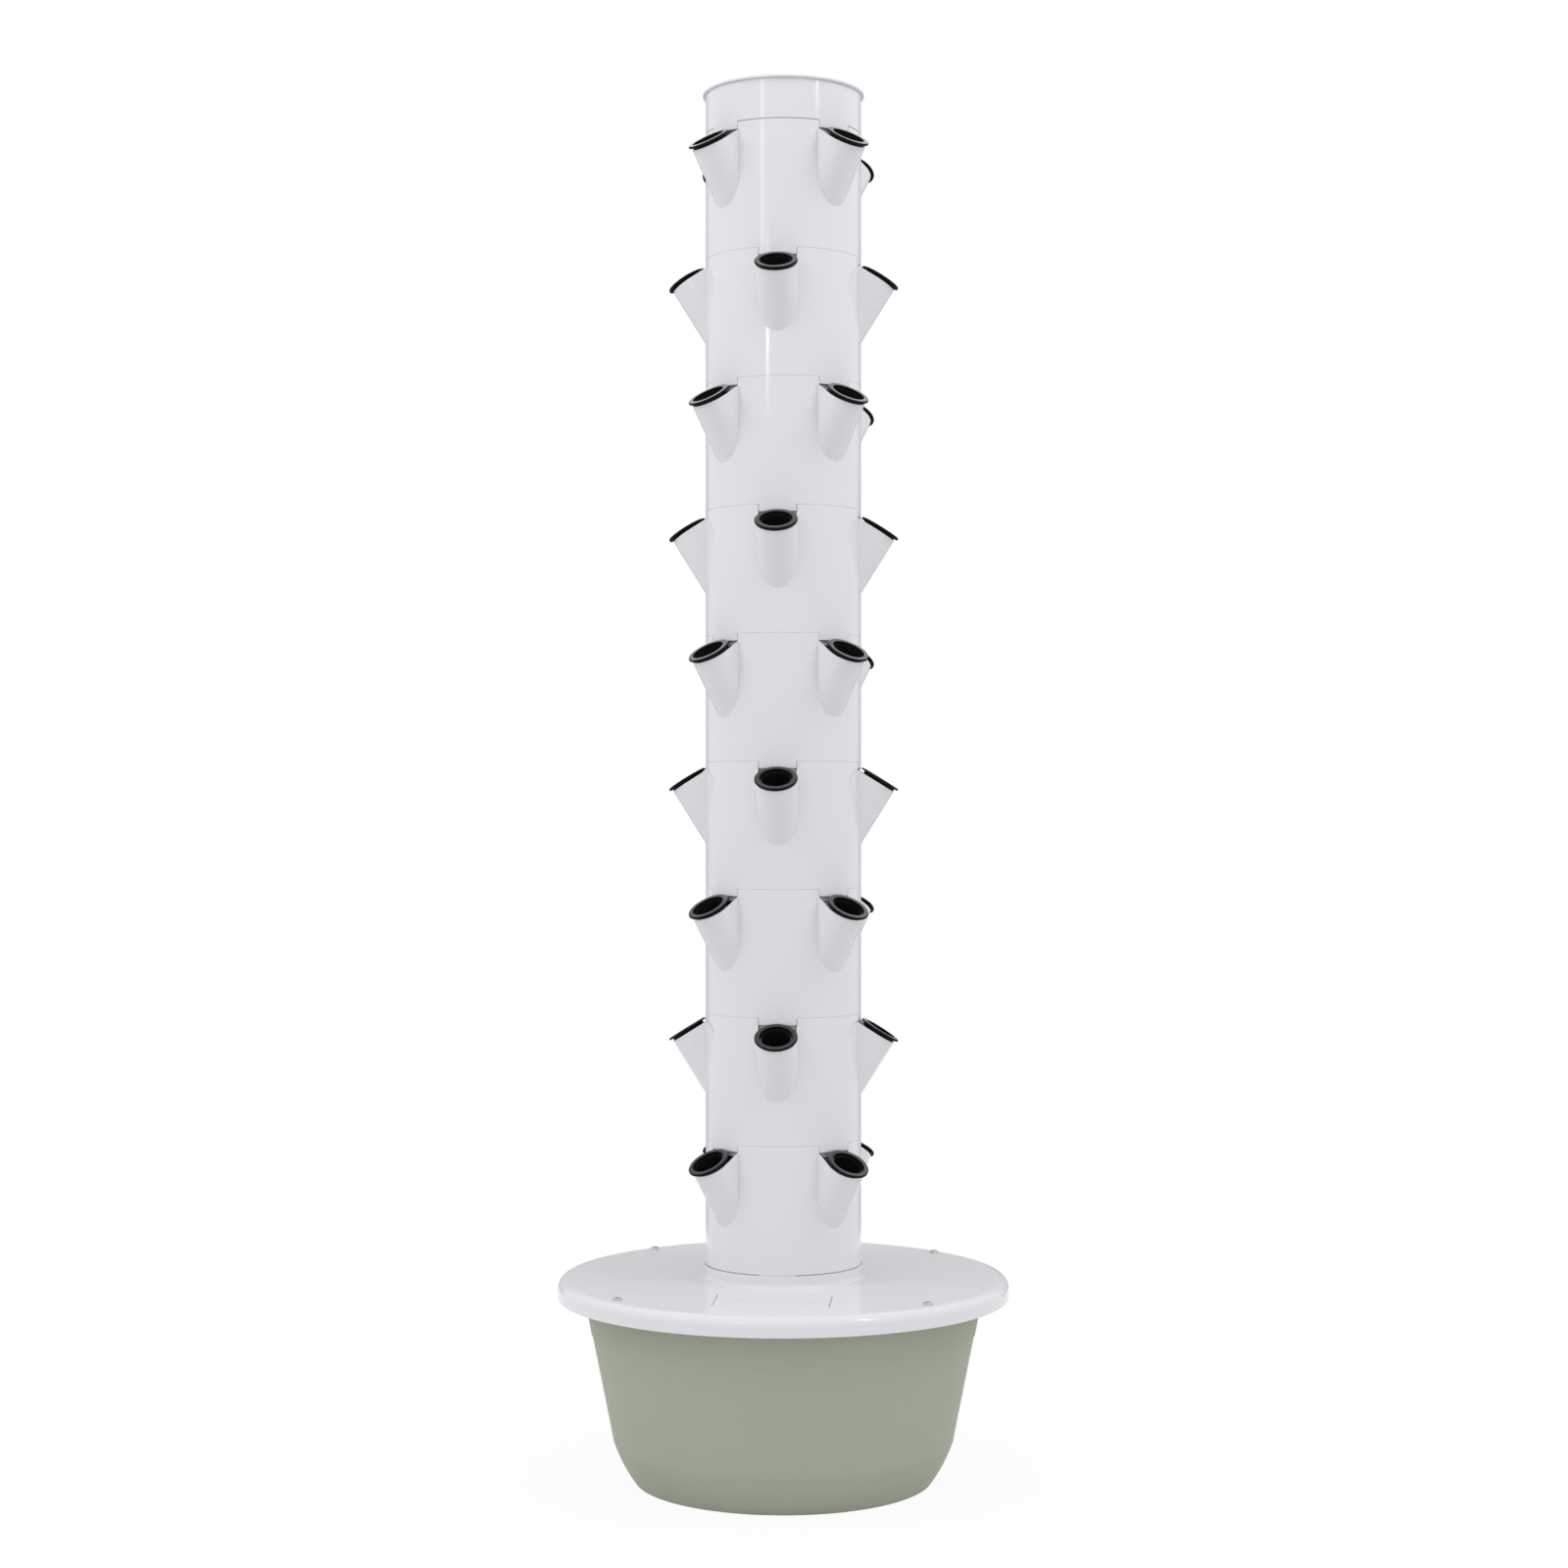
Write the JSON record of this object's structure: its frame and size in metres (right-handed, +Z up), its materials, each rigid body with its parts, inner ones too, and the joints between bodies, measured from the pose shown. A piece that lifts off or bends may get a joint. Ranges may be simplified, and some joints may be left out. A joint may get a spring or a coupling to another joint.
{
  "type": "hydroponic tower",
  "caption": "Free-standing vertical hydroponic planter: a keyed stack of white tube segments with slanted net-cup pockets on a round pump-fed water basin with a screwed lid and fill hatch.",
  "frame": {"origin": "centre of the basin's foot, on the floor under the tower's axis", "axes": "+Z up along the tower's axis, the fill hatch towards -Y, +X to the right seen from the front"},
  "size_m": [0.463, 0.463, 1.422],
  "materials": {
    "white_plastic": "moulded white plastic, semi-gloss",
    "sage_plastic": "moulded sage green plastic, satin",
    "black_plastic": "moulded black plastic, satin",
    "screw_steel": "plain stainless steel",
    "pipe_plastic": "pale grey pipe plastic",
    "pump_plastic": "black pump housing plastic",
    "impeller_plastic": "off-white nylon",
    "rubber": "black rubber"
  },
  "bodies": {
    "tower": {"tower_segment_1": "white_plastic", "tower_segment_2": "white_plastic", "tower_segment_3": "white_plastic", "tower_segment_4": "white_plastic", "tower_segment_5": "white_plastic", "tower_segment_6": "white_plastic", "tower_segment_7": "white_plastic", "tower_segment_8": "white_plastic", "tower_segment_9": "white_plastic", "basin_lid": "white_plastic", "reservoir_basin": "sage_plastic", "lid_screws": "screw_steel", "hatch_hinge_pin": "screw_steel", "riser_pipe_lower": "pipe_plastic", "riser_pipe_upper": "pipe_plastic", "riser_coupling": "pipe_plastic", "distributor_tray": "white_plastic", "pump_body": "pump_plastic", "pump_strainer": "pump_plastic", "pump_feet": "rubber", "cable_grommet": "rubber"},
    "hatch": {"fill_hatch": "white_plastic"},
    "cap": {"top_cap": "white_plastic"},
    "impeller": {"pump_impeller": "impeller_plastic"},
    "net_cup_1_front_right": {"net_cup_1_front_right": "black_plastic"},
    "net_cup_1_back_right": {"net_cup_1_back_right": "black_plastic"},
    "net_cup_1_back_left": {"net_cup_1_back_left": "black_plastic"},
    "net_cup_1_front_left": {"net_cup_1_front_left": "black_plastic"},
    "net_cup_2_front": {"net_cup_2_front": "black_plastic"},
    "net_cup_2_right": {"net_cup_2_right": "black_plastic"},
    "net_cup_2_back": {"net_cup_2_back": "black_plastic"},
    "net_cup_2_left": {"net_cup_2_left": "black_plastic"},
    "net_cup_3_front_right": {"net_cup_3_front_right": "black_plastic"},
    "net_cup_3_back_right": {"net_cup_3_back_right": "black_plastic"},
    "net_cup_3_back_left": {"net_cup_3_back_left": "black_plastic"},
    "net_cup_3_front_left": {"net_cup_3_front_left": "black_plastic"},
    "net_cup_4_front": {"net_cup_4_front": "black_plastic"},
    "net_cup_4_right": {"net_cup_4_right": "black_plastic"},
    "net_cup_4_back": {"net_cup_4_back": "black_plastic"},
    "net_cup_4_left": {"net_cup_4_left": "black_plastic"},
    "net_cup_5_front_right": {"net_cup_5_front_right": "black_plastic"},
    "net_cup_5_back_right": {"net_cup_5_back_right": "black_plastic"},
    "net_cup_5_back_left": {"net_cup_5_back_left": "black_plastic"},
    "net_cup_5_front_left": {"net_cup_5_front_left": "black_plastic"},
    "net_cup_6_front": {"net_cup_6_front": "black_plastic"},
    "net_cup_6_right": {"net_cup_6_right": "black_plastic"},
    "net_cup_6_back": {"net_cup_6_back": "black_plastic"},
    "net_cup_6_left": {"net_cup_6_left": "black_plastic"},
    "net_cup_7_front_right": {"net_cup_7_front_right": "black_plastic"},
    "net_cup_7_back_right": {"net_cup_7_back_right": "black_plastic"},
    "net_cup_7_back_left": {"net_cup_7_back_left": "black_plastic"},
    "net_cup_7_front_left": {"net_cup_7_front_left": "black_plastic"},
    "net_cup_8_front": {"net_cup_8_front": "black_plastic"},
    "net_cup_8_right": {"net_cup_8_right": "black_plastic"},
    "net_cup_8_back": {"net_cup_8_back": "black_plastic"},
    "net_cup_8_left": {"net_cup_8_left": "black_plastic"},
    "net_cup_9_front_right": {"net_cup_9_front_right": "black_plastic"},
    "net_cup_9_back_right": {"net_cup_9_back_right": "black_plastic"},
    "net_cup_9_back_left": {"net_cup_9_back_left": "black_plastic"},
    "net_cup_9_front_left": {"net_cup_9_front_left": "black_plastic"}
  },
  "joints": [
    {"name": "hatch_hinge", "type": "hinge", "parent": "tower", "child": "hatch", "pos_m": [0, -0.111, 0.2035], "axis": [-1, 0, 0], "range_deg": [0, 95]},
    {"name": "cap_lift", "type": "slide", "parent": "tower", "child": "cap", "axis": [0, 0, 1], "range_m": [0, 0.06]},
    {"name": "impeller_spin", "type": "hinge", "parent": "tower", "child": "impeller", "pos_m": [0, 0, 0.037], "axis": [0, -1, 0], "continuous": true},
    {"name": "net_cup_1_front_right_lift", "type": "slide", "parent": "tower", "child": "net_cup_1_front_right", "axis": [0.3747, -0.3747, 0.848], "range_m": [0, 0.06]},
    {"name": "net_cup_1_back_right_lift", "type": "slide", "parent": "tower", "child": "net_cup_1_back_right", "axis": [0.3747, 0.3747, 0.848], "range_m": [0, 0.06]},
    {"name": "net_cup_1_back_left_lift", "type": "slide", "parent": "tower", "child": "net_cup_1_back_left", "axis": [-0.3747, 0.3747, 0.848], "range_m": [0, 0.06]},
    {"name": "net_cup_1_front_left_lift", "type": "slide", "parent": "tower", "child": "net_cup_1_front_left", "axis": [-0.3747, -0.3747, 0.848], "range_m": [0, 0.06]},
    {"name": "net_cup_2_front_lift", "type": "slide", "parent": "tower", "child": "net_cup_2_front", "axis": [0, -0.5299, 0.848], "range_m": [0, 0.06]},
    {"name": "net_cup_2_right_lift", "type": "slide", "parent": "tower", "child": "net_cup_2_right", "axis": [0.5299, 0, 0.848], "range_m": [0, 0.06]},
    {"name": "net_cup_2_back_lift", "type": "slide", "parent": "tower", "child": "net_cup_2_back", "axis": [0, 0.5299, 0.848], "range_m": [0, 0.06]},
    {"name": "net_cup_2_left_lift", "type": "slide", "parent": "tower", "child": "net_cup_2_left", "axis": [-0.5299, 0, 0.848], "range_m": [0, 0.06]},
    {"name": "net_cup_3_front_right_lift", "type": "slide", "parent": "tower", "child": "net_cup_3_front_right", "axis": [0.3747, -0.3747, 0.848], "range_m": [0, 0.06]},
    {"name": "net_cup_3_back_right_lift", "type": "slide", "parent": "tower", "child": "net_cup_3_back_right", "axis": [0.3747, 0.3747, 0.848], "range_m": [0, 0.06]},
    {"name": "net_cup_3_back_left_lift", "type": "slide", "parent": "tower", "child": "net_cup_3_back_left", "axis": [-0.3747, 0.3747, 0.848], "range_m": [0, 0.06]},
    {"name": "net_cup_3_front_left_lift", "type": "slide", "parent": "tower", "child": "net_cup_3_front_left", "axis": [-0.3747, -0.3747, 0.848], "range_m": [0, 0.06]},
    {"name": "net_cup_4_front_lift", "type": "slide", "parent": "tower", "child": "net_cup_4_front", "axis": [0, -0.5299, 0.848], "range_m": [0, 0.06]},
    {"name": "net_cup_4_right_lift", "type": "slide", "parent": "tower", "child": "net_cup_4_right", "axis": [0.5299, 0, 0.848], "range_m": [0, 0.06]},
    {"name": "net_cup_4_back_lift", "type": "slide", "parent": "tower", "child": "net_cup_4_back", "axis": [0, 0.5299, 0.848], "range_m": [0, 0.06]},
    {"name": "net_cup_4_left_lift", "type": "slide", "parent": "tower", "child": "net_cup_4_left", "axis": [-0.5299, 0, 0.848], "range_m": [0, 0.06]},
    {"name": "net_cup_5_front_right_lift", "type": "slide", "parent": "tower", "child": "net_cup_5_front_right", "axis": [0.3747, -0.3747, 0.848], "range_m": [0, 0.06]},
    {"name": "net_cup_5_back_right_lift", "type": "slide", "parent": "tower", "child": "net_cup_5_back_right", "axis": [0.3747, 0.3747, 0.848], "range_m": [0, 0.06]},
    {"name": "net_cup_5_back_left_lift", "type": "slide", "parent": "tower", "child": "net_cup_5_back_left", "axis": [-0.3747, 0.3747, 0.848], "range_m": [0, 0.06]},
    {"name": "net_cup_5_front_left_lift", "type": "slide", "parent": "tower", "child": "net_cup_5_front_left", "axis": [-0.3747, -0.3747, 0.848], "range_m": [0, 0.06]},
    {"name": "net_cup_6_front_lift", "type": "slide", "parent": "tower", "child": "net_cup_6_front", "axis": [0, -0.5299, 0.848], "range_m": [0, 0.06]},
    {"name": "net_cup_6_right_lift", "type": "slide", "parent": "tower", "child": "net_cup_6_right", "axis": [0.5299, 0, 0.848], "range_m": [0, 0.06]},
    {"name": "net_cup_6_back_lift", "type": "slide", "parent": "tower", "child": "net_cup_6_back", "axis": [0, 0.5299, 0.848], "range_m": [0, 0.06]},
    {"name": "net_cup_6_left_lift", "type": "slide", "parent": "tower", "child": "net_cup_6_left", "axis": [-0.5299, 0, 0.848], "range_m": [0, 0.06]},
    {"name": "net_cup_7_front_right_lift", "type": "slide", "parent": "tower", "child": "net_cup_7_front_right", "axis": [0.3747, -0.3747, 0.848], "range_m": [0, 0.06]},
    {"name": "net_cup_7_back_right_lift", "type": "slide", "parent": "tower", "child": "net_cup_7_back_right", "axis": [0.3747, 0.3747, 0.848], "range_m": [0, 0.06]},
    {"name": "net_cup_7_back_left_lift", "type": "slide", "parent": "tower", "child": "net_cup_7_back_left", "axis": [-0.3747, 0.3747, 0.848], "range_m": [0, 0.06]},
    {"name": "net_cup_7_front_left_lift", "type": "slide", "parent": "tower", "child": "net_cup_7_front_left", "axis": [-0.3747, -0.3747, 0.848], "range_m": [0, 0.06]},
    {"name": "net_cup_8_front_lift", "type": "slide", "parent": "tower", "child": "net_cup_8_front", "axis": [0, -0.5299, 0.848], "range_m": [0, 0.06]},
    {"name": "net_cup_8_right_lift", "type": "slide", "parent": "tower", "child": "net_cup_8_right", "axis": [0.5299, 0, 0.848], "range_m": [0, 0.06]},
    {"name": "net_cup_8_back_lift", "type": "slide", "parent": "tower", "child": "net_cup_8_back", "axis": [0, 0.5299, 0.848], "range_m": [0, 0.06]},
    {"name": "net_cup_8_left_lift", "type": "slide", "parent": "tower", "child": "net_cup_8_left", "axis": [-0.5299, 0, 0.848], "range_m": [0, 0.06]},
    {"name": "net_cup_9_front_right_lift", "type": "slide", "parent": "tower", "child": "net_cup_9_front_right", "axis": [0.3747, -0.3747, 0.848], "range_m": [0, 0.06]},
    {"name": "net_cup_9_back_right_lift", "type": "slide", "parent": "tower", "child": "net_cup_9_back_right", "axis": [0.3747, 0.3747, 0.848], "range_m": [0, 0.06]},
    {"name": "net_cup_9_back_left_lift", "type": "slide", "parent": "tower", "child": "net_cup_9_back_left", "axis": [-0.3747, 0.3747, 0.848], "range_m": [0, 0.06]},
    {"name": "net_cup_9_front_left_lift", "type": "slide", "parent": "tower", "child": "net_cup_9_front_left", "axis": [-0.3747, -0.3747, 0.848], "range_m": [0, 0.06]}
  ]
}
